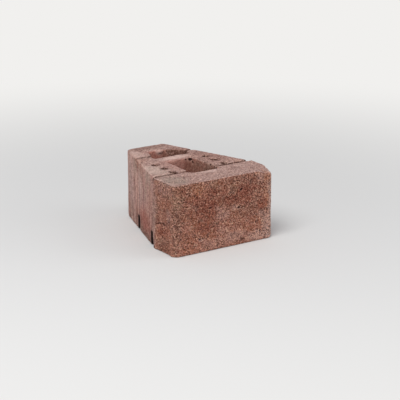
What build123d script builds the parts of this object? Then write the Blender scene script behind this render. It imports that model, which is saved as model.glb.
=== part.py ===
"""Concrete retaining-wall block, cast in one piece.

The wide rough face looks towards -Y and the narrow tail towards +Y. The block stands on its bed,
with the origin under the middle of its overall box. Millimetres and degrees.
Setbacks are measured from the face towards the tail.
"""
import math
import os

from build123d import *

# Overall block
block_height = 152.4
block_depth = 304.8

# Outline seen from above
face_width = 248.0
shoulder_width = 254.0
shoulder_setback = 72.0
body_width = 239.0
tail_width = 94.0
face_corner_radius = 14.0
shoulder_radius = 5.0
tail_corner_radius = 9.0
arris_bevel = 1.5

# Splitting grooves across the top
face_groove_setback = 84.0
tail_groove_setback = 226.0
groove_width = 9.0
groove_floor_width = 5.0
groove_depth = 14.0

# Slots across the bed, which clear the pins of the course below
face_slot_setback = 95.0
tail_slot_setback = 203.5
slot_width = 12.0
slot_roof_width = 9.0
slot_height = 28.0

# Centre core, wider at the top because its former is drawn upwards
core_front_setback = 68.0
core_rear_setback = 169.0
core_front_width = 70.0
core_rear_width = 63.0
core_corner_radius = 6.0
core_draft = 1.0

# Tail hollow, astride the tail groove
hollow_front_setback = 205.0
hollow_rear_setback = 257.0
hollow_front_width = 84.0
hollow_rear_width = 42.0
hollow_corner_radius = 5.0

# Pin holes in two rows beside the core
pin_diameter = 13.0
pin_clearance = 3.0
pin_hole_depth = 88.0
pin_tip_bevel = 3.0
pin_row_offset = 64.5
pin_setbacks = [96.0, 129.0, 163.0]

# Shallow marks of the pins' front positions, left unbored
blind_mark_setback = 52.0
blind_mark_depth = 2.0

# Right front corner of the top, worn down to a shallow dish
worn_corner_reach = 38.0
worn_corner_drop = 14.0

os.makedirs("parts", exist_ok=True)


def from_face(setback):
    """Y of a point that lies this far behind the face."""
    return setback - block_depth / 2


def mirrored(right_half):
    """Closed outline from the points of its right half, front to back."""
    left_half = [(-x, y) for x, y in reversed(right_half)]
    return Polyline(right_half + left_half, close=True)


def rounded_vertices(sketch, spots, radius):
    """Round the corners of a sketch that lie at the given spots, on both sides."""
    corners = [
        corner
        for corner in sketch.vertices()
        if any(math.dist((abs(corner.X), corner.Y), spot) < 0.01 for spot in spots)
    ]
    return fillet(corners, radius)


def block_outline():
    """The face strip, its two ledges at the face groove, and the sides that taper to the tail."""
    face = (face_width / 2, from_face(0))
    shoulder = (shoulder_width / 2, from_face(shoulder_setback))
    ledge_front = (shoulder_width / 2, from_face(face_groove_setback - groove_width / 2))
    ledge_rear = (body_width / 2, from_face(face_groove_setback + groove_width / 2))
    tail = (tail_width / 2, from_face(block_depth))
    sketch = make_face(mirrored([face, shoulder, ledge_front, ledge_rear, tail]))
    sketch = rounded_vertices(sketch, [face], face_corner_radius)
    sketch = rounded_vertices(sketch, [shoulder, ledge_front], shoulder_radius)
    return rounded_vertices(sketch, [tail], tail_corner_radius)


def tapered_void(front_setback, rear_setback, front_width, rear_width, radius):
    """A core through the whole height, narrower towards the bed by its draft."""
    corners = [
        (front_width / 2, from_face(front_setback)),
        (rear_width / 2, from_face(rear_setback)),
    ]
    sketch = make_face(mirrored(corners))
    former = extrude(fillet(sketch.vertices(), radius), amount=block_height)
    walls = former.faces().sort_by(Axis.Z)[1:-1]
    return draft(walls, Plane.XY.offset(block_height), -core_draft)


def cross_cut(setback, mouth_width, inner_width, depth, mouth_z, inward):
    """A straight cut from side to side, with sloping walls and a rounded inner end."""
    middle = from_face(setback)
    reach = shoulder_width
    section = Polyline(
        [
            (middle - mouth_width / 2, mouth_z),
            (middle + mouth_width / 2, mouth_z),
            (middle + inner_width / 2, mouth_z + inward * depth),
            (middle - inner_width / 2, mouth_z + inward * depth),
        ],
        close=True,
    )
    sketch = make_face(section)
    inner_corners = [c for c in sketch.vertices() if abs(c.Y - mouth_z) > depth / 2]
    sketch = fillet(inner_corners, inner_width / 4)
    standing = Plane(origin=(-reach / 2, 0, 0), x_dir=(0, 1, 0), z_dir=(1, 0, 0)) * sketch
    return extrude(standing, amount=reach)


def pin_holes():
    """Both rows of blind pin holes with bevelled tips, and the shallow marks in the face strip."""
    radius = (pin_diameter + pin_clearance) / 2
    rod = Cylinder(radius, pin_hole_depth)
    rod = chamfer(rod.edges().sort_by(Axis.Z)[0], pin_tip_bevel)
    tools = []
    for side in (-1, 1):
        for setback in pin_setbacks:
            middle = (side * pin_row_offset, from_face(setback), block_height - pin_hole_depth / 2)
            tools.append(Pos(*middle) * rod)
        mark = (side * pin_row_offset, from_face(blind_mark_setback), block_height)
        tools.append(Pos(*mark) * Cylinder(radius, blind_mark_depth * 2))
    return tools


def worn_corner():
    """The dish that wear left in the top, deepest at the right front corner."""
    dish = Cone(0, worn_corner_reach, worn_corner_drop)
    return Pos(face_width / 2, from_face(0), block_height - worn_corner_drop / 2) * dish


def wall_block():
    """The whole block as one solid."""
    body = extrude(block_outline(), amount=block_height)
    ends = body.faces().sort_by(Axis.Z)
    body = chamfer(ends[0].edges() + ends[-1].edges(), arris_bevel)
    body -= tapered_void(
        core_front_setback, core_rear_setback, core_front_width, core_rear_width, core_corner_radius
    )
    body -= tapered_void(
        hollow_front_setback,
        hollow_rear_setback,
        hollow_front_width,
        hollow_rear_width,
        hollow_corner_radius,
    )
    for setback in (face_groove_setback, tail_groove_setback):
        body -= cross_cut(setback, groove_width, groove_floor_width, groove_depth, block_height, -1)
    for setback in (face_slot_setback, tail_slot_setback):
        body -= cross_cut(setback, slot_width, slot_roof_width, slot_height, 0, 1)
    for tool in pin_holes():
        body -= tool
    return body - worn_corner()


export_step(wall_block(), "parts/wall_block.step")
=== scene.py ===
import math

import bmesh
import bpy
import numpy as np
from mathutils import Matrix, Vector, kdtree, noise


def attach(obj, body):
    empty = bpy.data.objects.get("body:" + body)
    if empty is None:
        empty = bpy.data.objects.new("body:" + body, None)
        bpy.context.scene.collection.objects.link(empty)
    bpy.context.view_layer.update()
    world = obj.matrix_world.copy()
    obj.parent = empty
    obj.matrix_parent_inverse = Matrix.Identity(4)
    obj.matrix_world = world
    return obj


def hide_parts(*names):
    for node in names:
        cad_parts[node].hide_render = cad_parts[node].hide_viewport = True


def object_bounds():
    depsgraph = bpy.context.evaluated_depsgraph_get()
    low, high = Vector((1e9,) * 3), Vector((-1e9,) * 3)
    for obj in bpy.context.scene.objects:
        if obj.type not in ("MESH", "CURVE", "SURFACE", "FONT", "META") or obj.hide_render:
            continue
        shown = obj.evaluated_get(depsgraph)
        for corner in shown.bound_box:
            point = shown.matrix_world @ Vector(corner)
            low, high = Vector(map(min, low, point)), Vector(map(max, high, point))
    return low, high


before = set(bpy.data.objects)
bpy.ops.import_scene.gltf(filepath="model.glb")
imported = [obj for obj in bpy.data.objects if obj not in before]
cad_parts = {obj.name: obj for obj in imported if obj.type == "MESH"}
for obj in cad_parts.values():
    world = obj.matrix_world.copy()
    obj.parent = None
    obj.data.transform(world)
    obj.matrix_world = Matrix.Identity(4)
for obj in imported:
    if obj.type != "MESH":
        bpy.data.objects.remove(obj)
cad_low, cad_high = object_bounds()
scene = bpy.context.scene
scene.view_settings.view_transform = "Standard"


# Camera: a long lens on a stand, in front of the block's left front corner and a little above it,
# at the photograph's viewing angle.
camera_azimuth = math.radians(-34.3)
camera_elevation = math.radians(16.82)
camera_distance = 3.164
camera_target = Vector((0.0, -0.0625, 0.08156))
camera_lens = 135.0
sensor_width = 36.0
farthest_seen = 60.0

towards_camera = Vector(
    (
        math.sin(camera_azimuth) * math.cos(camera_elevation),
        -math.cos(camera_azimuth) * math.cos(camera_elevation),
        math.sin(camera_elevation),
    )
)
camera_data = bpy.data.cameras.new("camera")
camera_data.lens = camera_lens
camera_data.sensor_width = sensor_width
camera_data.clip_end = farthest_seen
camera = bpy.data.objects.new("camera", camera_data)
camera.location = camera_target + towards_camera * camera_distance
camera.rotation_euler = (-towards_camera).to_track_quat("-Z", "Y").to_euler()
scene.collection.objects.link(camera)
scene.camera = camera


# Studio light: one broad soft lamp high up on the left, a weak one on the right, and an even pale
# surround that fills the shadows and stands behind the block as a white backdrop.
lamp_aim = Vector((0, 0, 0.07))


def linear(hex_colour):
    """An sRGB hex colour as linear RGBA."""
    channels = [int(hex_colour[i:i + 2], 16) / 255 for i in (1, 3, 5)]
    return tuple(c / 12.92 if c <= 0.04045 else ((c + 0.055) / 1.055) ** 2.4 for c in channels) + (1.0,)


def add_node(tree, kind, links=(), **settings):
    """Add a node; settings set its properties, links its inputs (a socket to join or a value)."""
    node = tree.nodes.new(kind)
    for name, value in settings.items():
        setattr(node, name, value)
    for name, value in dict(links).items():
        if isinstance(value, bpy.types.NodeSocket):
            tree.links.new(value, node.inputs[name])
        else:
            node.inputs[name].default_value = value
    return node


def soft_lamp(name, place, width, power):
    """A square lamp, this many metres wide, that points at the block."""
    data = bpy.data.lights.new(name, "AREA")
    data.shape = "SQUARE"
    data.size = width
    data.energy = power
    lamp = bpy.data.objects.new(name, data)
    lamp.location = place
    lamp.rotation_euler = (Vector(place) - lamp_aim).to_track_quat("Z", "Y").to_euler()
    scene.collection.objects.link(lamp)


soft_lamp("key_lamp", (-1.5, -0.9, 2.6), width=1.8, power=62.0)
soft_lamp("fill_lamp", (1.9, -1.6, 1.5), width=1.8, power=12.0)

surround = bpy.data.worlds.new("pale_surround")
surround.use_nodes = True
surround_tree = surround.node_tree
surround_tree.nodes.clear()
camera_ray = add_node(surround_tree, "ShaderNodeLightPath").outputs["Is Camera Ray"]
fill_light = add_node(
    surround_tree, "ShaderNodeBackground", {"Color": linear("#f4f6fb"), "Strength": 0.5}
)
white_backdrop = add_node(
    surround_tree, "ShaderNodeBackground", {"Color": linear("#f1f0ee"), "Strength": 1.0}
)
shown_surround = add_node(
    surround_tree,
    "ShaderNodeMixShader",
    {0: camera_ray, 1: fill_light.outputs[0], 2: white_backdrop.outputs[0]},
)
add_node(surround_tree, "ShaderNodeOutputWorld", {"Surface": shown_surround.outputs[0]})
scene.world = surround


# Floor: a plain pale board that the block stands on and throws its shadow on. It is laid flat and
# reaches far past the block on every side.
floor_half_width = 9.0
fade_start = 0.3
fade_end = 1.6

floor_mesh = bmesh.new()
bmesh.ops.create_grid(floor_mesh, x_segments=1, y_segments=1, size=floor_half_width)
floor_data = bpy.data.meshes.new("floor")
floor_mesh.to_mesh(floor_data)
floor_mesh.free()
floor = bpy.data.objects.new("floor", floor_data)
scene.collection.objects.link(floor)

# Matt painted board: an even off-white without gloss. Away from the block it fades into the white
# backdrop, so that no horizon or falling light shows behind the block.
painted_board = bpy.data.materials.new("painted_board")
painted_board.use_nodes = True
board_tree = painted_board.node_tree
board_tree.nodes.clear()
board_shader = add_node(
    board_tree,
    "ShaderNodeBsdfPrincipled",
    {"Base Color": linear("#dddcda"), "Roughness": 0.9, "Specular IOR Level": 0.1},
)
backdrop_white = add_node(
    board_tree, "ShaderNodeEmission", {"Color": linear("#f1f0ee"), "Strength": 1.0}
)
board_place = add_node(board_tree, "ShaderNodeTexCoord").outputs["Object"]
from_block = add_node(board_tree, "ShaderNodeVectorMath", {0: board_place}, operation="LENGTH")
fade = add_node(
    board_tree,
    "ShaderNodeMapRange",
    {"Value": from_block.outputs["Value"], "From Min": fade_start, "From Max": fade_end, "To Max": 1.0},
    interpolation_type="SMOOTHSTEP",
)
seen_directly = add_node(board_tree, "ShaderNodeLightPath").outputs["Is Camera Ray"]
faded = add_node(
    board_tree, "ShaderNodeMath", {0: fade.outputs[0], 1: seen_directly}, operation="MULTIPLY"
)
board_surface = add_node(
    board_tree,
    "ShaderNodeMixShader",
    {0: faded.outputs[0], 1: board_shader.outputs[0], 2: backdrop_white.outputs[0]},
)
add_node(board_tree, "ShaderNodeOutputMaterial", {"Surface": board_surface.outputs[0]})
floor.data.materials.append(painted_board)


# Wall block: one piece of tinted dry-cast concrete. An almost dry mix is rammed into a steel mould
# round cores and stripped straight up at once, which tears the face, drags the sides and leaves the
# arrises ragged. It lies loose on the floor.

# Its sizes in mm. Places along it are counted from the face.
block_height = cad_high[2] * 1000
face_y = cad_low[1] * 1000
tail_y = cad_high[1] * 1000
tail_half_width = 47.0
shoulder_y = face_y + 72
shoulder_half_width = cad_high[0] * 1000
ledge_y = face_y + 88.5
body_half_width = 119.5
core_y = (face_y + 68, face_y + 169)
core_half_width = (35.0, 31.5)
hollow_y = (face_y + 205, face_y + 257)
hollow_half_width = (42.0, 21.0)
groove_y = (face_y + 84, face_y + 226)
groove_half_width = 5.2
groove_depth = 14.0
slot_y = (face_y + 95, face_y + 203.5)
slot_half_width = 6.6
slot_height = 28.0
pin_x = 64.5
pin_y = (face_y + 96, face_y + 129, face_y + 163)
pin_radius = 8.0
mark_y = face_y + 52
mark_depth = 2.0
worn_corner = (124.0, face_y)
worn_reach = 38.0
worn_drop = 14.0
splinter_depth = 15.0

# The even net of small faces that the casting is shaped on, and how far beyond a face of the block a
# vertex that belongs to that face may lie: on a flat, round a bored hole, and on a drafted wall.
net_spacing = 1.15
flat_slack = 0.4
hole_slack = 0.8
wall_slack = 1.0
triangle_limit = 196000


def settle(piece):
    """Apply a piece's modifiers to its mesh."""
    shown = piece.evaluated_get(bpy.context.evaluated_depsgraph_get())
    data = bpy.data.meshes.new_from_object(shown)
    piece.modifiers.clear()
    piece.data = data


def lost_splinter():
    """The piece that broke out between the hollow and the tail groove, on the right. It stands 2 mm
    proud of the top, for a clean cut."""
    rim = [(16, 105), (26, 105), (56.5, 75), (46, 49), (30, 49.5)]
    foot = [(16, 99), (24.5, 99), (51, 73), (43.5, 52), (30, 52)]
    mesh = bmesh.new()
    for level, outline in ((block_height + 2, rim), (block_height - splinter_depth, foot)):
        for across, along in outline:
            mesh.verts.new((across / 1000, along / 1000, level / 1000))
    bmesh.ops.convex_hull(mesh, input=mesh.verts)
    bmesh.ops.recalc_face_normals(mesh, faces=mesh.faces)
    data = bpy.data.meshes.new("lost_splinter")
    mesh.to_mesh(data)
    mesh.free()
    splinter = bpy.data.objects.new("lost_splinter", data)
    scene.collection.objects.link(splinter)
    return splinter


def casting_copy(node):
    """A merged copy of the CAD node without its splinter, cut into an even net of small faces."""
    mesh = bmesh.new()
    mesh.from_mesh(node.data)
    bmesh.ops.remove_doubles(mesh, verts=mesh.verts, dist=1e-6)
    data = bpy.data.meshes.new("wall_block_cast")
    mesh.to_mesh(data)
    mesh.free()
    piece = bpy.data.objects.new("wall_block_cast", data)
    scene.collection.objects.link(piece)
    splinter = lost_splinter()
    break_out = piece.modifiers.new("break_out", "BOOLEAN")
    break_out.operation = "DIFFERENCE"
    break_out.solver = "EXACT"
    break_out.object = splinter
    net = piece.modifiers.new("even_net", "REMESH")
    net.mode = "VOXEL"
    net.voxel_size = net_spacing / 1000
    settle(piece)
    bpy.data.objects.remove(splinter)
    return piece


def at_each_vertex(piece, what):
    """A vector that the mesh holds at each vertex, such as its place or the way it faces."""
    found = np.empty(len(piece.data.vertices) * 3, np.float32)
    piece.data.vertices.foreach_get(what, found)
    return found.reshape(-1, 3).astype(float)


def neighbour_mean(values):
    """Each vertex's mean over its neighbours in the net."""
    total = np.zeros_like(values)
    for axis in range(values.shape[1]):
        total[:, axis] = np.bincount(pairs[:, 0], values[pairs[:, 1], axis], len(values))
        total[:, axis] += np.bincount(pairs[:, 1], values[pairs[:, 0], axis], len(values))
    return total / counts[:, None]


def step(values, low, high):
    """0 below low, 1 above high, and smooth between."""
    part = np.clip((values - low) / (high - low), 0, 1)
    return part * part * (3 - 2 * part)


# Each seed moves the noise this much further along.
seed_shift = 7.31


def waves(spots, size, seed):
    """Smooth noise of about -1 to 1, with features of this size in mm, alike or one for each axis."""
    scaled = spots / np.asarray(size, float) + seed * seed_shift
    return np.array([noise.noise(p) for p in scaled.tolist()])


def stones(spots, size, seed):
    """For a packing of stones of this size in mm, how far into its stone each spot is (0 in the gaps, 1
    at the middle), its distance to the middle in stone sizes, and a chance number for that stone."""
    scaled = spots / np.asarray(size, float) + seed * seed_shift
    near, next_near, chance = [], [], []
    for p in scaled.tolist():
        gaps, centres = noise.voronoi(p)
        near.append(gaps[0])
        next_near.append(gaps[1])
        chance.append(noise.cell(centres[0] * 3.7))
    near = np.array(near)
    return step(np.array(next_near) - near, 0.0, 0.5), near, np.array(chance)


def around(spots, middle, reach):
    """1 at the middle of a patch and 0 outside it, with an uneven outline."""
    gap = np.linalg.norm((spots - np.array(middle)) / np.asarray(reach, float), axis=1)
    found = np.zeros(len(spots))
    close = gap < 1.5
    ragged = 1.05 + 0.4 * waves(spots[close], np.max(reach) * 0.7, seed=31)
    found[close] = step(ragged - gap[close], 0.0, 0.55)
    return found


wall_block = casting_copy(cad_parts["wall_block"])
flat = at_each_vertex(wall_block, "co") * 1000
facing = at_each_vertex(wall_block, "normal")
x, y, z = flat.T
pairs = np.empty(len(wall_block.data.edges) * 2, np.int32)
wall_block.data.edges.foreach_get("vertices", pairs)
pairs = pairs.reshape(-1, 2)
counts = np.bincount(pairs.ravel(), minlength=len(flat)).astype(float)

# Which part of the block each vertex lies on.
side = abs(x)
core_half = np.interp(y, core_y, core_half_width)
hollow_half = np.interp(y, hollow_y, hollow_half_width)
body_half = np.interp(y, (ledge_y, tail_y), (body_half_width, tail_half_width))
groove_gap = np.min([abs(y - row) for row in groove_y], axis=0)
slot_gap = np.min([abs(y - row) for row in slot_y], axis=0)
pin_gap = np.min([np.hypot(side - pin_x, y - row) for row in pin_y], axis=0)
mark_gap = np.hypot(side - pin_x, y - mark_y)
corner_gap = np.hypot(x - worn_corner[0], y - worn_corner[1])
faces_up = facing[:, 2] > 0.5
faces_down = facing[:, 2] < -0.5
in_core = (y > core_y[0] - wall_slack) & (y < core_y[1] + wall_slack)
in_core &= side < core_half + wall_slack
in_hollow = (y > hollow_y[0] - wall_slack) & (y < hollow_y[1] + wall_slack)
in_hollow &= side < hollow_half + wall_slack
in_mark = (mark_gap < pin_radius + hole_slack) & (z > block_height - mark_depth - flat_slack)
in_dish = (corner_gap < worn_reach) & (z > block_height - worn_drop - wall_slack) & faces_up
on_top = (z > block_height - flat_slack) & faces_up | in_mark | in_dish
on_bed = (z < flat_slack) & faces_down
in_break = (x > np.maximum(hollow_half + wall_slack, 22)) & (x < 57) & (y > 49) & (y < 106)
in_break &= (z > block_height - splinter_depth - wall_slack - flat_slack) & ~on_top
in_groove = (z > block_height - groove_depth - flat_slack) & (groove_gap < groove_half_width)
in_groove &= ~on_top & ~in_break
in_slot = (z < slot_height + flat_slack) & (slot_gap < slot_half_width) & ~on_bed
in_pin = (pin_gap < pin_radius + hole_slack) & ~on_top
in_void = (in_core | in_hollow | in_break | in_pin) & ~on_top & ~on_bed
outside = ~(on_top | on_bed | in_groove | in_slot | in_void)

# The torn face reaches round both front corners and fades out before the shoulders.
torn_edge = -78 - 7 * np.exp(-(((z - 88) / 34) ** 2))
torn_edge += 4 * waves(flat, 14, seed=1) + 3 * waves(flat, 4, seed=2)
torn = np.where(outside, step(torn_edge - y, -4, 5), 0)
rough = torn > 0
dragged = outside & (torn < 1)

# Near an arris the mean facing of the neighbourhood is short, and the middle of the neighbourhood
# lies below the surface.
mean_facing = facing.copy()
mean_spot = flat.copy()
for _ in range(10):
    mean_facing = neighbour_mean(mean_facing)
    mean_spot = neighbour_mean(mean_spot)
corner = np.clip((1 - np.linalg.norm(mean_facing, axis=1)) / 0.25, 0, 1)
bulge = np.sum((flat - mean_spot) * facing, axis=1)
arris = corner * step(bulge, 0.05, 0.4)

# Relief, in mm, inwards. The torn face: pea gravel and coarse sand, with holes where grains came out.
sink = np.zeros(len(flat))
spots = flat[rough]
gravel, _, gravel_chance = stones(spots, 3.2, seed=3)
sand, _, sand_chance = stones(spots, 2.4, seed=4)
_, hole_near, hole_chance = stones(spots, 2.8, seed=5)
holes = step(0.62 - hole_near, 0.0, 0.3) * step(hole_chance + 0.3 * waves(spots, 9, seed=6), 0.66, 0.8)
torn_sink = 0.35 - 0.8 * gravel * (0.3 + 0.7 * gravel_chance) - 0.55 * sand * sand_chance
torn_sink += 1.7 * holes - 0.5 * waves(spots, 44, seed=7)
sink[rough] = torn[rough] * torn_sink

# The dragged sides: upright streaks where the mould slid off, with a few torn pores.
spots = flat[dragged]
streaks = waves(spots, (2.6, 2.6, 46), seed=8) + 0.6 * waves(spots, (1.5, 1.5, 24), seed=9)
bands = waves(spots, (14, 14, 100), seed=10)
_, pore_near, pore_chance = stones(spots, (7.0, 7.0, 13.0), seed=11)
pores = step(0.27 - pore_near, 0.0, 0.14) * (pore_chance > 0.6)
dragged_sink = 0.15 - 0.38 * streaks - 0.4 * bands + 1.2 * pores + 0.2 * waves(spots, 2.0, seed=12)
sink[dragged] += (1 - torn[dragged]) * dragged_sink

# The top, struck off flush: fine sand, small crumbs pulled out, a few open spots, and the marks of
# two unbored pin positions.
spots = flat[on_top]
sand, crumb_near, crumb_chance = stones(spots, 4.6, seed=13)
crumbs = step(0.36 - crumb_near, 0.0, 0.22) * (crumb_chance > 0.72)
mark_floor = in_mark[on_top] & (spots[:, 2] < block_height - 2 * flat_slack)
top_sink = 0.2 - 0.22 * sand + 0.22 * waves(spots, 2.2, seed=14) + 0.3 * waves(spots, 10, seed=15)
sink[on_top] = top_sink + 0.9 * crumbs - 1.3 * mark_floor

# The bed, flat from the steel pallet, with scattered pores.
spots = flat[on_bed]
_, pore_near, pore_chance = stones(spots, 9.0, seed=16)
pores = step(0.22 - pore_near, 0.0, 0.14) * (pore_chance > 0.7)
sink[on_bed] = 0.06 + 0.06 * waves(spots, 3.0, seed=17) + 1.1 * pores

# The walls of the core, hollow and pin holes, drawn upwards and open-grained. Crumbs hang in the
# mouths of the pin holes.
spots = flat[in_void]
streaks = waves(spots, (2.4, 2.4, 34), seed=18)
sand, hole_near, hole_chance = stones(spots, (7, 7, 6), seed=19)
holes = step(0.3 - hole_near, 0.0, 0.16) * (hole_chance > 0.84)
sink[in_void] = 0.25 - 0.3 * streaks + 1.4 * holes - 0.25 * sand * hole_chance
inside_pin = in_pin[in_void] & ~(in_core | in_hollow)[in_void]
near_mouth = step(spots[:, 2], block_height - 16, block_height - 4)
sink[in_void] -= 1.2 * inside_pin * near_mouth * step(waves(spots, 5.0, seed=20), -0.1, 0.5)

# The grooves and slots: crumbly cut walls, and grooves partly filled with what fell in, most of all
# away from the left side.
cut = in_groove | in_slot
sink[cut] = 0.2 + 0.6 * waves(flat[cut], 5, seed=21) + 0.3 * waves(flat[cut], 2.2, seed=22)
fallen = in_groove & (facing[:, 2] > 0.6)
filled = np.where(x[fallen] < -38, 2.0, 7.0)
sink[fallen] -= filled * step(waves(flat[fallen], 12, seed=32), -0.2, 0.4)

# Arrises crumble: most round the face and the pin holes, least at the slots.
crumble = step(waves(flat, 7, seed=23) + 0.45 * waves(flat, 2.8, seed=24), -0.25, 0.55)
arris_loss = np.where(y < shoulder_y, 2.8, 1.5)
arris_loss[(pin_gap < pin_radius + 4) & (z > 100)] = 2.2
arris_loss[(z < slot_height + 4) & (slot_gap < 10)] = 1.0
sink += arris * arris_loss * (0.3 + crumble)

# Single chips and bug holes: middle, reach and depth.
chips = [
    ((36, 17, 149), (5.0, 4.0, 5.0), 3.0),
    ((29, 16, 148), (5.0, 4.0, 3.6), 3.0),
    ((18, 16, 149), (2.6, 3.0, 3.0), 2.0),
    ((32, 12, 142), (2.6, 3.0, 2.6), 2.2),
    ((38, 13, 152), (4.6, 4.6, 4.0), 3.4),
    ((35, -31, 151), (3.0, 3.0, 3.0), 2.0),
    ((35, -50, 151), (4.0, 4.0, 4.0), 2.4),
    ((-120, -68, 146), (5.0, 5.0, 7.0), 2.4),
    ((-62.5, -98, 151), (5.0, 3.2, 3.0), 2.6),
    ((-33, 17, 151), (5.0, 2.6, 4.0), 2.0),
    ((36, -84, 150), (6.0, 5.0, 7.0), 3.0),
    ((37, -152, 82), (3.2, 4.0, 2.8), 3.6),
    ((43, -152, 120), (4.6, 4.0, 3.2), 2.4),
    ((-61, -152, 29), (3.0, 4.0, 2.2), 2.6),
    ((-34, -152, 93), (3.4, 4.0, 2.6), 2.0),
    ((-66, -100, 152), (3.6, 3.6, 3.0), 1.6),
    ((-81, 51, 29), (9.0, 6.0, 6.0), 4.0),
    ((-119, -57, 29), (9.0, 6.0, 6.0), 3.6),
    ((-119, -52, 33), (5.0, 4.0, 5.0), 2.4),
    ((-124, -62, 6), (10.0, 9.0, 9.0), 3.0),
    ((-66, 60, 14), (8.0, 8.0, 9.0), 2.4),
]
chip_loss_and_shade = np.zeros(len(flat))
for middle, reach, depth in chips:
    chip_loss_and_shade += depth * around(flat, middle, reach)

# A crack curves up and down again across the left end of the face strip.
crack_crown_y = -108
crack_crown_z = 62
crack_bend = 11
crack_half_width = 2.2
crack_depth = 2.1
crack_z = crack_crown_z - ((y - crack_crown_y) / crack_bend) ** 2 + 1.6 * waves(flat, 7, seed=33)
crack = step(crack_half_width - abs(z - crack_z), 0, 1.4) * step(-y, 80, 86) * step(122 + y, -1, 4)
crack *= 0.5 + 0.5 * step(waves(flat, 6, seed=34), -0.4, 0.1)
chip_loss_and_shade += crack_depth * np.where(x < -110, crack, 0)
sink += chip_loss_and_shade

# A lump of the mix stands out of the hollow's rear wall.
sink -= 1.8 * around(flat, (8, 105, 149), (9, 4, 5))

shaped = flat - facing * sink[:, None]

# The left shoulder came out of the mould a little short, and the right front corner a little full.
short_by = 3.4
full_by = 2.2
short_strip = step(-x, 95, 112) * step(y, -152, -100)
short_ledge = step(-x, body_half_width, shoulder_half_width) * (y < -60)
shaped[:, 0] += short_by * np.where(y < shoulder_y, short_strip, short_ledge)
shaped[:, 0] += full_by * step(x, 90, 118) * step(-y, 90, 130)

for _ in range(5):
    ease = (arris * (0.35 + 0.4 * crumble))[:, None]
    shaped = shaped + ease * (neighbour_mean(shaped) - shaped)
shaped[:, 2] = np.clip(shaped[:, 2], cad_low[2] * 1000, cad_high[2] * 1000)
wall_block.data.vertices.foreach_set("co", (shaped / 1000).astype(np.float32).ravel())
wall_block.data.update()

# What the finish reads at each vertex.
mean_shape = shaped.copy()
for _ in range(5):
    mean_shape = neighbour_mean(mean_shape)
relief = np.clip(np.sum((shaped - mean_shape) * facing, axis=1), -0.8, 0.8)
# Painted shadow: a band round the mouths of the slots, drawn near black.
slot_mouth_shadow = step(9.5 - slot_gap, 0, 1.5) * step(slot_height + 6 - z, 0, 3) * (outside & (torn < 0.5))
# Painted shade: a dark band on the face and side just under the top's left front rim.
under_rim_shade = step(corner, 0.1, 0.5) * step(-x, 56, 70) * step(z, 143, 148) * (outside & (y < -76))
under_rim_shade *= 0.85 * step(waves(flat, 6, seed=61), -0.4, 0.2)
marks = {
    "torn": torn,
    "dragged": np.where(dragged, 1 - torn, 0),
    "shaded_bore": (in_pin & ~in_core & ~in_hollow) | in_groove | in_slot,
    "void": (in_core | in_hollow | in_break) & in_void,
    # Painted shade on the walls of the break.
    "break_shade": in_break,
    # Painted shade in the low spots of the relief, and a painted highlight on its crests.
    "pit_shade": 1 - step(relief, -0.64, 0.04),
    "crest_highlight": step(relief, 0.04, 0.64),
    # Painted shade in the chips, the crack and the bug holes, and under the left rim.
    "chip_loss_and_shade": np.maximum(step(chip_loss_and_shade, 0.8, 2.4), under_rim_shade),
    # Painted shadow inside the slots and round their mouths.
    "slot_shadow": np.maximum(in_slot * step(body_half - side, -4, -2), slot_mouth_shadow),
}
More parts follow.
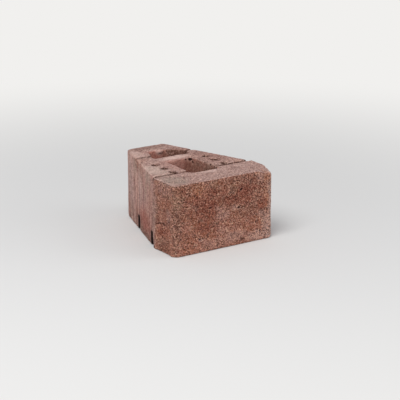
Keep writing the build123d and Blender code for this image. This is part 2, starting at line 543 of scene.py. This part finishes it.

# Clouds of pigment that the mixer left unblended; a few of the clouds, noted below, are painted shade
# or painted light instead. For each pigment its colour, how much of the ground it hides, and its
# clouds, laid over one another in this order: middle, reach and strength.
pigments = {
    "rust": (
        "#b26f4a",
        0.7,
        [
            ((-68, -152, 134), (26, 20, 20), 0.9),
            ((108, -150, 136), (12, 20, 16), 1.0),
            ((107, -150, 84), (8, 20, 40), 0.7),
            ((-56, -152, 56), (18, 20, 16), 0.4),
            ((-80, -152, 66), (16, 20, 22), 0.4),
            ((-28, -152, 38), (14, 20, 12), 0.3),
            ((-90, 60, 148), (40, 30, 12), 0.4),
            ((95, -55, 152), (20, 16, 4), 0.3),
            ((30, 30, 152), (16, 14, 4), 0.3),
        ],
    ),
    "brick": (
        "#8a4634",
        0.6,
        [
            ((-45, -152, 94), (34, 20, 34), 0.9),
            ((-28, -152, 124), (14, 20, 14), 0.9),
            ((-78, -152, 84), (14, 20, 22), 0.4),
            ((-54, -152, 54), (22, 20, 16), 0.8),
            ((20, -152, 102), (22, 20, 14), 0.8),
            ((-4, -152, 120), (14, 20, 10), 0.6),
            ((72, -152, 118), (14, 20, 12), 0.6),
            ((56, -152, 98), (22, 20, 18), 0.7),
            ((-98, -152, 98), (12, 20, 22), 0.3),
            ((48, -152, 120), (18, 20, 16), 1.0),
            ((95, -152, 80), (12, 20, 13), 0.7),
            ((-74, -152, 116), (16, 20, 12), 0.9),
            ((-20, -152, 38), (14, 20, 12), 0.4),
            ((-98, 0, 32), (30, 80, 26), 0.8),
            ((-122, -108, 52), (8, 30, 24), 0.9),
            ((-122, -116, 10), (10, 26, 14), 0.8),
            ((-82, 66, 34), (20, 18, 22), 0.5),
            ((-108, -152, 138), (14, 20, 14), 0.8),
            ((64, 0, 152), (40, 60, 10), 0.25),
            ((44, 78, 136), (20, 40, 22), 0.6),
        ],
    ),
    "char": (
        "#5f3c30",
        0.68,
        [
            ((-32, -152, 120), (12, 20, 12), 0.4),
            ((-60, -152, 108), (14, 20, 12), 0.5),
            ((-80, -152, 76), (10, 20, 9), 0.4),
            ((46, -152, 126), (14, 20, 14), 0.5),
            ((58, -152, 78), (34, 20, 18), 0.45),
            ((36, -152, 141), (28, 20, 11), 0.4),
            ((-124, -80, 84), (10, 16, 64), 0.9),
            ((-122, -110, 58), (8, 26, 19), 1.0),
            ((-84, -152, 141), (16, 20, 10), 0.7),
            ((-108, -150, 147), (24, 14, 6), 0.8),
            ((-122, -106, 16), (10, 40, 24), 1.0),
            # This band is painted shade down the rounded left front corner.
            ((-118, -146, 70), (12, 14, 80), 1.25),
            ((-76, 72, 140), (10, 9, 12), 0.8),
            # This cloud is painted shadow along the foot of the left side.
            ((-96, 10, 4), (40, 90, 14), 1.0),
            ((-95, 34, 32), (18, 22, 14), 0.6),
            ((-118, -52, 128), (10, 12, 34), 0.45),
            ((-80, 67, 26), (20, 17, 16), 0.8),
            ((-116, -54, 30), (12, 12, 14), 0.4),
            ((0, 140, 152), (60, 18, 7), 0.7),
            ((64, 0, 152), (40, 60, 10), 0.25),
            ((64, -100, 151), (9, 5, 3), 0.6),
            ((-64, -99, 151), (8, 4, 6), 0.9),
            # These two are painted shade on the right walls of the break and the core.
            ((42, 78, 134), (24, 40, 24), 1.0),
            ((36, -30, 110), (7, 50, 70), 1.0),
        ],
    ),
    "olive": (
        "#7f6750",
        0.6,
        [
            ((-112, -146, 124), (14, 30, 30), 0.9),
            ((-120, -112, 20), (10, 36, 26), 0.4),
            ((22, -152, 124), (11, 20, 16), 0.6),
            ((-28, -152, 142), (14, 20, 11), 0.6),
            ((-55, 140, 90), (16, 16, 70), 0.4),
            ((42, 78, 138), (20, 36, 22), 0.2),
            ((36, -30, 110), (7, 50, 70), 0.4),
        ],
    ),
    "rose": (
        "#bb7568",
        0.6,
        [
            ((-94, -152, 58), (14, 20, 13), 0.6),
            ((-6, -152, 64), (22, 20, 24), 0.45),
            # These two paint the rear walls of the core and the hollow paler: painted light on those lit
            # walls.
            ((-14, 18, 120), (40, 8, 60), 1.0),
            ((-8, 104, 130), (30, 8, 40), 1.0),
            ((-100, 0, 44), (30, 70, 32), 0.9),
            ((-44, -20, 152), (12, 50, 8), 0.4),
            ((-110, -34, 92), (20, 24, 36), 0.6),
            ((-60, 130, 40), (16, 20, 30), 0.5),
        ],
    ),
    "slate": (
        "#858074",
        0.6,
        [
            ((-100, -112, 152), (36, 36, 10), 1.0),
        ],
    ),
    "mauve": (
        "#b09896",
        0.6,
        [
            ((-60, 125, 90), (24, 32, 64), 0.7),
            ((-124, -110, 138), (12, 34, 18), 0.45),
            ((-124, -130, 82), (10, 11, 15), 0.6),
            ((-90, 30, 90), (24, 40, 40), 0.3),
        ],
    ),
    "ash": (
        "#b3a598",
        0.6,
        [
            ((-90, -30, 152), (26, 46, 5), 1.0),
            ((-104, -20, 138), (16, 46, 14), 0.4),
            ((-110, 0, 90), (16, 20, 30), 0.4),
        ],
    ),
    "chalk": (
        "#dbbbaf",
        0.85,
        [
            ((-74, -152, 97), (7, 20, 6), 0.5),
            ((-18, -152, 88), (9, 20, 7), 0.5),
            ((-4, -152, 74), (18, 20, 14), 0.35),
            ((27, -152, 84), (8, 20, 7), 0.4),
            ((-24, -152, 14), (46, 20, 14), 0.3),
            ((-4, -152, 38), (22, 20, 11), 0.3),
            ((-70, 96, 130), (14, 18, 26), 0.5),
            ((-57, -152, 27), (7, 20, 6), 0.6),
            ((26, -152, 22), (34, 20, 16), 0.45),
            ((84, -152, 12), (34, 20, 12), 0.7),
            ((104, -152, 34), (12, 20, 34), 0.6),
            ((94, -152, 138), (11, 20, 12), 0.4),
            ((118, -146, 70), (9, 14, 88), 0.9),
            ((116, -148, 40), (11, 14, 40), 0.8),
            ((112, -150, 15), (14, 20, 16), 1.0),
            ((94, -152, 58), (10, 20, 9), 0.5),
            ((111, -150, 118), (8, 20, 12), 0.5),
            ((2, 36, 152), (42, 15, 9), 1.0),
            ((0, -94, 152), (46, 12, 4), 0.7),
            ((84, -94, 152), (20, 12, 4), 0.4),
            ((-92, -20, 152), (20, 50, 5), 0.5),
            ((-56, 105, 152), (20, 44, 7), 0.6),
            ((-86, 54, 112), (14, 30, 26), 0.3),
            ((-110, -20, 112), (30, 14, 34), 0.2),
            ((-54, 128, 140), (10, 24, 18), 0.4),
            ((4, 105, 147), (12, 6, 8), 0.8),
            ((-14, 18, 130), (32, 8, 30), 0.2),
        ],
    ),
}
drift = [waves(flat, 12, seed) + 0.5 * waves(flat, 4, seed + 1) for seed in (41, 44, 47)]
drifted = flat + 6 * np.stack(drift, axis=1)
for pigment, (_, _, clouds) in pigments.items():
    marks[pigment] = np.zeros(len(flat))
    for middle, reach, strength in clouds:
        gap = np.linalg.norm((drifted - np.array(middle)) / np.array(reach), axis=1)
        marks[pigment] = np.maximum(marks[pigment], strength * step(1.25 - gap, 0, 0.8))

# The left rim of the top is rubbed pale, and this pale band also stands as a painted highlight along
# that arris.
rim = step(corner, 0.15, 0.6) * step(-x, 60, 90) * step(y, -148, -130)
marks["chalk"] = np.maximum(marks["chalk"], 0.7 * rim * on_top)

# How bare the grains lie: most on the torn face. A skin of cement dulls them elsewhere, most of all
# in the voids and where the block was rubbed.
marks["bare"] = (0.7 + 0.3 * step(torn, 0, 1)) * (1 - 0.05 * step(marks["dragged"], 0, 1))
marks["bare"] *= (1 - 0.5 * marks["void"]) * (1 - 0.6 * marks["chalk"] * (1 - torn))

# The net is all quads, so it has twice as many triangles as faces. Each vertex that is left when it is
# thinned out takes the marks of the nearest one of the full net.
thin = wall_block.modifiers.new("thin_out", "DECIMATE")
thin.ratio = triangle_limit / (2 * len(wall_block.data.polygons))
settle(wall_block)
lookup = kdtree.KDTree(len(shaped))
for index, spot in enumerate(shaped.tolist()):
    lookup.insert(spot, index)
lookup.balance()
kept_spots = at_each_vertex(wall_block, "co") * 1000
nearest = np.array([lookup.find(spot)[1] for spot in kept_spots.tolist()])
for name, values in marks.items():
    layer = wall_block.data.attributes.new(name, "FLOAT", "POINT")
    layer.data.foreach_set("value", values[nearest].astype(np.float32))
wall_block.data.shade_smooth()

# Tinted dry-cast concrete, as it left the mould: red and buff iron oxides swirled through grey cement
# and sand. It has no gloss at all, reads as grains and pits of one family of colours, and is palest
# where it was rubbed. Painted shade darkens its pits, chips, bores, slots and some shaded walls, and
# painted light pales its crests, the left rim of the top and some lit walls.
cast_concrete = bpy.data.materials.new("tinted_dry_cast_concrete")
cast_concrete.use_nodes = True
tree = cast_concrete.node_tree
tree.nodes.clear()
object_place = add_node(tree, "ShaderNodeTexCoord").outputs["Object"]
height = add_node(tree, "ShaderNodeSeparateXYZ", {0: object_place}).outputs["Z"]
stored = {}
for name in marks:
    stored[name] = add_node(tree, "ShaderNodeAttribute", attribute_name=name).outputs["Fac"]

# Patterns of the mix: the size of a feature in mm, how many times as tall it is drawn, its detail, a
# shift that sets it apart, and the part of the noise that fills the range which follows. The pores
# are under 1 mm and show only as a faint roughness.
pattern_settings = {
    "clouds": (40, 1, 3.0, 0.0, (0.35, 0.65), (0.0, 1.0)),
    "wisps": (14, 1, 3.0, 17.9, (0.35, 0.65), (0.0, 1.0)),
    "drag_streaks": (8, 14, 3.0, 5.1, (0.38, 0.62), (0.0, 1.0)),
    "wide_streaks": (20, 8, 3.0, 13.3, (0.38, 0.62), (0.0, 1.0)),
    "grey_streaks": (10, 10, 3.0, 27.9, (0.5, 0.66), (0.0, 1.0)),
    "void_streaks": (3.2, 8, 3.0, 41.7, (0.36, 0.64), (0.0, 1.0)),
    "top_blotches": (6.5, 1, 4.0, 31.3, (0.38, 0.62), (0.0, 1.0)),
    "top_stains": (5, 1, 4.0, 3.9, (0.5, 0.66), (0.0, 1.0)),
    "grain_patches": (16, 1, 2.0, 51.3, (0.36, 0.64), (0.7, 1.2)),
    "roughness": (2.5, 1, 2.0, 21.7, (0.3, 0.7), (0.88, 0.97)),
    "pores": (1.1, 1, 3.0, 7.7, None, None),
    "sand_bumps": (3.0, 1, 2.0, 9.1, None, None),
}
patterns = {}
for name, (size, tall, detail, shift, part, filled) in pattern_settings.items():
    place = add_node(
        tree,
        "ShaderNodeMapping",
        {
            "Vector": object_place,
            "Location": (shift, shift * 0.7, shift * 1.3),
            "Scale": (1000 / size, 1000 / size, 1000 / size / tall),
        },
    )
    mix = add_node(
        tree,
        "ShaderNodeTexNoise",
        {"Vector": place.outputs[0], "Scale": 1.0, "Detail": detail, "Roughness": 0.6},
    )
    patterns[name] = mix.outputs["Fac"]
    if part:
        spread = add_node(
            tree,
            "ShaderNodeMapRange",
            {
                "Value": mix.outputs["Fac"],
                "From Min": part[0],
                "From Max": part[1],
                "To Min": filled[0],
                "To Max": filled[1],
            },
            interpolation_type="SMOOTHSTEP",
        )
        patterns[name] = spread.outputs["Result"]

# The ground colour of each kind of surface, laid over one another in this order, with the patterns in
# it: which, how strongly it shows, and its colour.
surfaces = {
    "top": (
        "#97746c",
        [("wisps", 1.0, "#ac8d85"), ("top_blotches", 0.7, "#c1a097"), ("top_stains", 0.6, "#7a5a53")],
    ),
    "dragged": (
        "#57312a",
        [
            ("drag_streaks", 1.0, "#e8beb4"),
            ("wide_streaks", 0.5, "#b67a6c"),
            ("grey_streaks", 0.55, "#97826d"),
        ],
    ),
    "torn": ("#894d3b", [("clouds", 1.0, "#985f4f"), ("wisps", 1.0, "#9f6047")]),
    "void": ("#8d5c4d", [("void_streaks", 1.0, "#ad7a69")]),
    # The bores, grooves and slots get a dark ground colour: painted shade in these recesses.
    "shaded_bore": ("#62443b", [("wisps", 1.0, "#52372f")]),
}

# Two of them change with height, from a shade at the lower height to one at the upper, in metres: the
# sides darken towards the foot, a painted shade where they meet the floor, and the face is paler
# towards the foot.
shades = {"dragged": (0.0, 0.085, 0.73, 1.05), "torn": (0.01, 0.1, 1.2, 0.785)}

colour = linear(surfaces["top"][0])
for surface, (ground, laid_patterns) in surfaces.items():
    surface_colour = linear(ground)
    for pattern, strength, hue in laid_patterns:
        shown = add_node(tree, "ShaderNodeMath", {0: patterns[pattern], 1: strength}, operation="MULTIPLY")
        mixed = add_node(
            tree,
            "ShaderNodeMix",
            {0: shown.outputs[0], 6: surface_colour, 7: linear(hue)},
            data_type="RGBA",
        )
        surface_colour = mixed.outputs[2]
    if surface in shades:
        lower, upper, lower_shade, upper_shade = shades[surface]
        shade = add_node(
            tree,
            "ShaderNodeMapRange",
            {
                "Value": height,
                "From Min": lower,
                "From Max": upper,
                "To Min": lower_shade,
                "To Max": upper_shade,
            },
            interpolation_type="SMOOTHSTEP",
        )
        shaded = add_node(
            tree,
            "ShaderNodeMix",
            {0: 1.0, 6: surface_colour, 7: shade.outputs["Result"]},
            data_type="RGBA",
            blend_type="MULTIPLY",
        )
        surface_colour = shaded.outputs[2]
    joined = add_node(
        tree,
        "ShaderNodeMix",
        {0: stored.get(surface, 1.0), 6: colour, 7: surface_colour},
        data_type="RGBA",
    )
    colour = joined.outputs[2]

# What lies on the ground colours, from the lowest up: where, how strongly, its colour, and whether it
# covers or tints. First the pigment clouds and the painted shade on the walls of the break.
layers = [(stored[name], hiding, linear(hue), "MIX") for name, (hue, hiding, _) in pigments.items()]
layers.append((stored["break_shade"], 0.75, linear("#50342a"), "MIX"))

# Then the grains, each darker or paler than its neighbours: their size in mm and shift, the share of
# them that is dark and that is pale, how strongly the dark ones show and their colour, how strongly
# the pale ones show and their colour, bare and under the skin. The gravel and the odd stone are at
# their real size. The sand is under 1 mm, too fine to show, so it is drawn 1.5 mm wide.
grains = [
    (2.0, 2.2, 0.36, 0.72, "#3f1a13", 0.52, "#e1a591", "#e4b8a9"),
    (1.5, 6.1, 0.36, 0.66, "#411c11", 0.5, "#dea68b", "#e4baa6"),
    (2.7, 9.4, 0.07, 0.8, "#3d271a", 0.6, "#e4b89c", "#e5c0ae"),
]
bare = add_node(
    tree, "ShaderNodeMath", {0: stored["bare"], 1: patterns["grain_patches"]}, operation="MULTIPLY"
)
for size, shift, share, dark, dark_hue, pale, bare_hue, dulled_hue in grains:
    place = add_node(
        tree,
        "ShaderNodeMapping",
        {
            "Vector": object_place,
            "Location": (shift, shift * 0.7, shift * 1.3),
            "Scale": (1000 / size, 1000 / size, 1000 / size),
        },
    )
    cells = add_node(
        tree, "ShaderNodeTexVoronoi", {"Vector": place.outputs[0], "Scale": 1.0, "Randomness": 1.0}
    )
    chance = add_node(tree, "ShaderNodeSeparateColor", {0: cells.outputs["Color"]})
    pale_colour = add_node(
        tree,
        "ShaderNodeMix",
        {0: stored["torn"], 6: linear(dulled_hue), 7: linear(bare_hue)},
        data_type="RGBA",
    )
    for rare, common, strength, hue in (
        (share, 0.4 * share, dark, linear(dark_hue)),
        (1 - share, 1 - 0.4 * share, pale, pale_colour.outputs[2]),
    ):
        picked = add_node(
            tree,
            "ShaderNodeMapRange",
            {"Value": chance.outputs[0], "From Min": rare, "From Max": common, "To Max": strength},
            interpolation_type="SMOOTHSTEP",
        )
        layers.append((picked.outputs["Result"], bare.outputs[0], hue, "MIX"))

# Last the painted shade in the pits, painted shade in the chips and crack and under the left rim, a
# painted highlight on the crests, a red tint over the brick clouds, and the near-black painted shadow
# in the slots and round their mouths.
layers += [
    (stored["pit_shade"], 0.75, linear("#472a23"), "MIX"),
    (stored["chip_loss_and_shade"], 0.72, linear("#35201a"), "MIX"),
    (stored["crest_highlight"], 0.3, linear("#bf9c90"), "MIX"),
    (stored["brick"], 1.0, linear("#eedcd7"), "MULTIPLY"),
    (stored["slot_shadow"], 0.97, linear("#1a0906"), "MIX"),
]
for where, strength, hue, way in layers:
    shown = add_node(tree, "ShaderNodeMath", {0: where, 1: strength}, operation="MULTIPLY")
    laid = add_node(
        tree,
        "ShaderNodeMix",
        {0: shown.outputs[0], 6: colour, 7: hue},
        data_type="RGBA",
        blend_type=way,
    )
    colour = laid.outputs[2]

bump_height = add_node(
    tree, "ShaderNodeMath", {0: patterns["pores"], 1: patterns["sand_bumps"]}, operation="ADD"
)
bump = add_node(
    tree, "ShaderNodeBump", {"Height": bump_height.outputs[0], "Strength": 0.6, "Distance": 0.0008}
)
concrete_shader = add_node(
    tree,
    "ShaderNodeBsdfPrincipled",
    {
        "Base Color": colour,
        "Roughness": patterns["roughness"],
        "Specular IOR Level": 0.25,
        "Normal": bump.outputs[0],
    },
)
add_node(tree, "ShaderNodeOutputMaterial", {"Surface": concrete_shader.outputs[0]})
wall_block.data.materials.clear()
wall_block.data.materials.append(cast_concrete)

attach(wall_block, "root")
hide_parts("wall_block")
